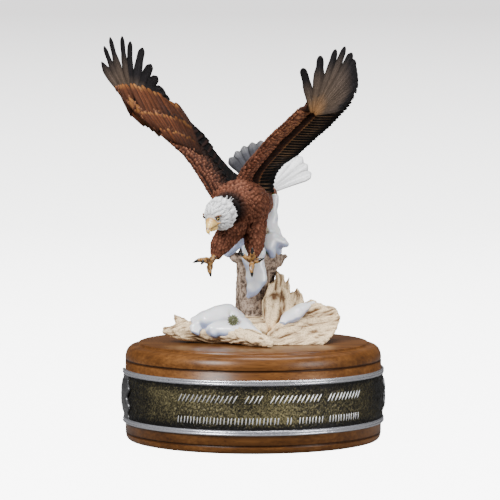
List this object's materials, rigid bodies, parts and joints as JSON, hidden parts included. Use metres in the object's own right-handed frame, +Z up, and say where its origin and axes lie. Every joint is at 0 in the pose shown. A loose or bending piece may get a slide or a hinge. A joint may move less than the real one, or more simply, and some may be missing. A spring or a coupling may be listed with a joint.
{
  "type": "eagle sculpture on a driftwood mount and round base",
  "caption": "Painted cast eagle with raised wings and open talons on a snowy stump and driftwood, over a round turned walnut base with a cast metal band.",
  "frame": {"origin": "centre of the walnut base's flat underside", "axes": "+Z up; -Y is the front, the side the band's rows and the eagle's talons face"},
  "size_m": [0.2801, 0.2538, 0.3939],
  "materials": {
    "walnut": "satin lacquered walnut",
    "aged_pewter": "antiqued cast pewter, dark stippled ground, bright rims",
    "painted_driftwood": "painted casting, cream wood and grey-brown bark with a brown wash",
    "painted_snow": "glossy white snow",
    "painted_feathers": "painted casting, satin brown and charcoal feathers",
    "painted_white_feathers": "painted casting, matt white feathers",
    "painted_horn": "painted casting, satin ochre beak and feet, gloss black talons and eyes"
  },
  "bodies": {
    "root": {"walnut_base": "walnut", "name_band": "aged_pewter", "driftwood_mount": "painted_driftwood", "eagle": "painted_feathers"}
  },
  "joints": []
}
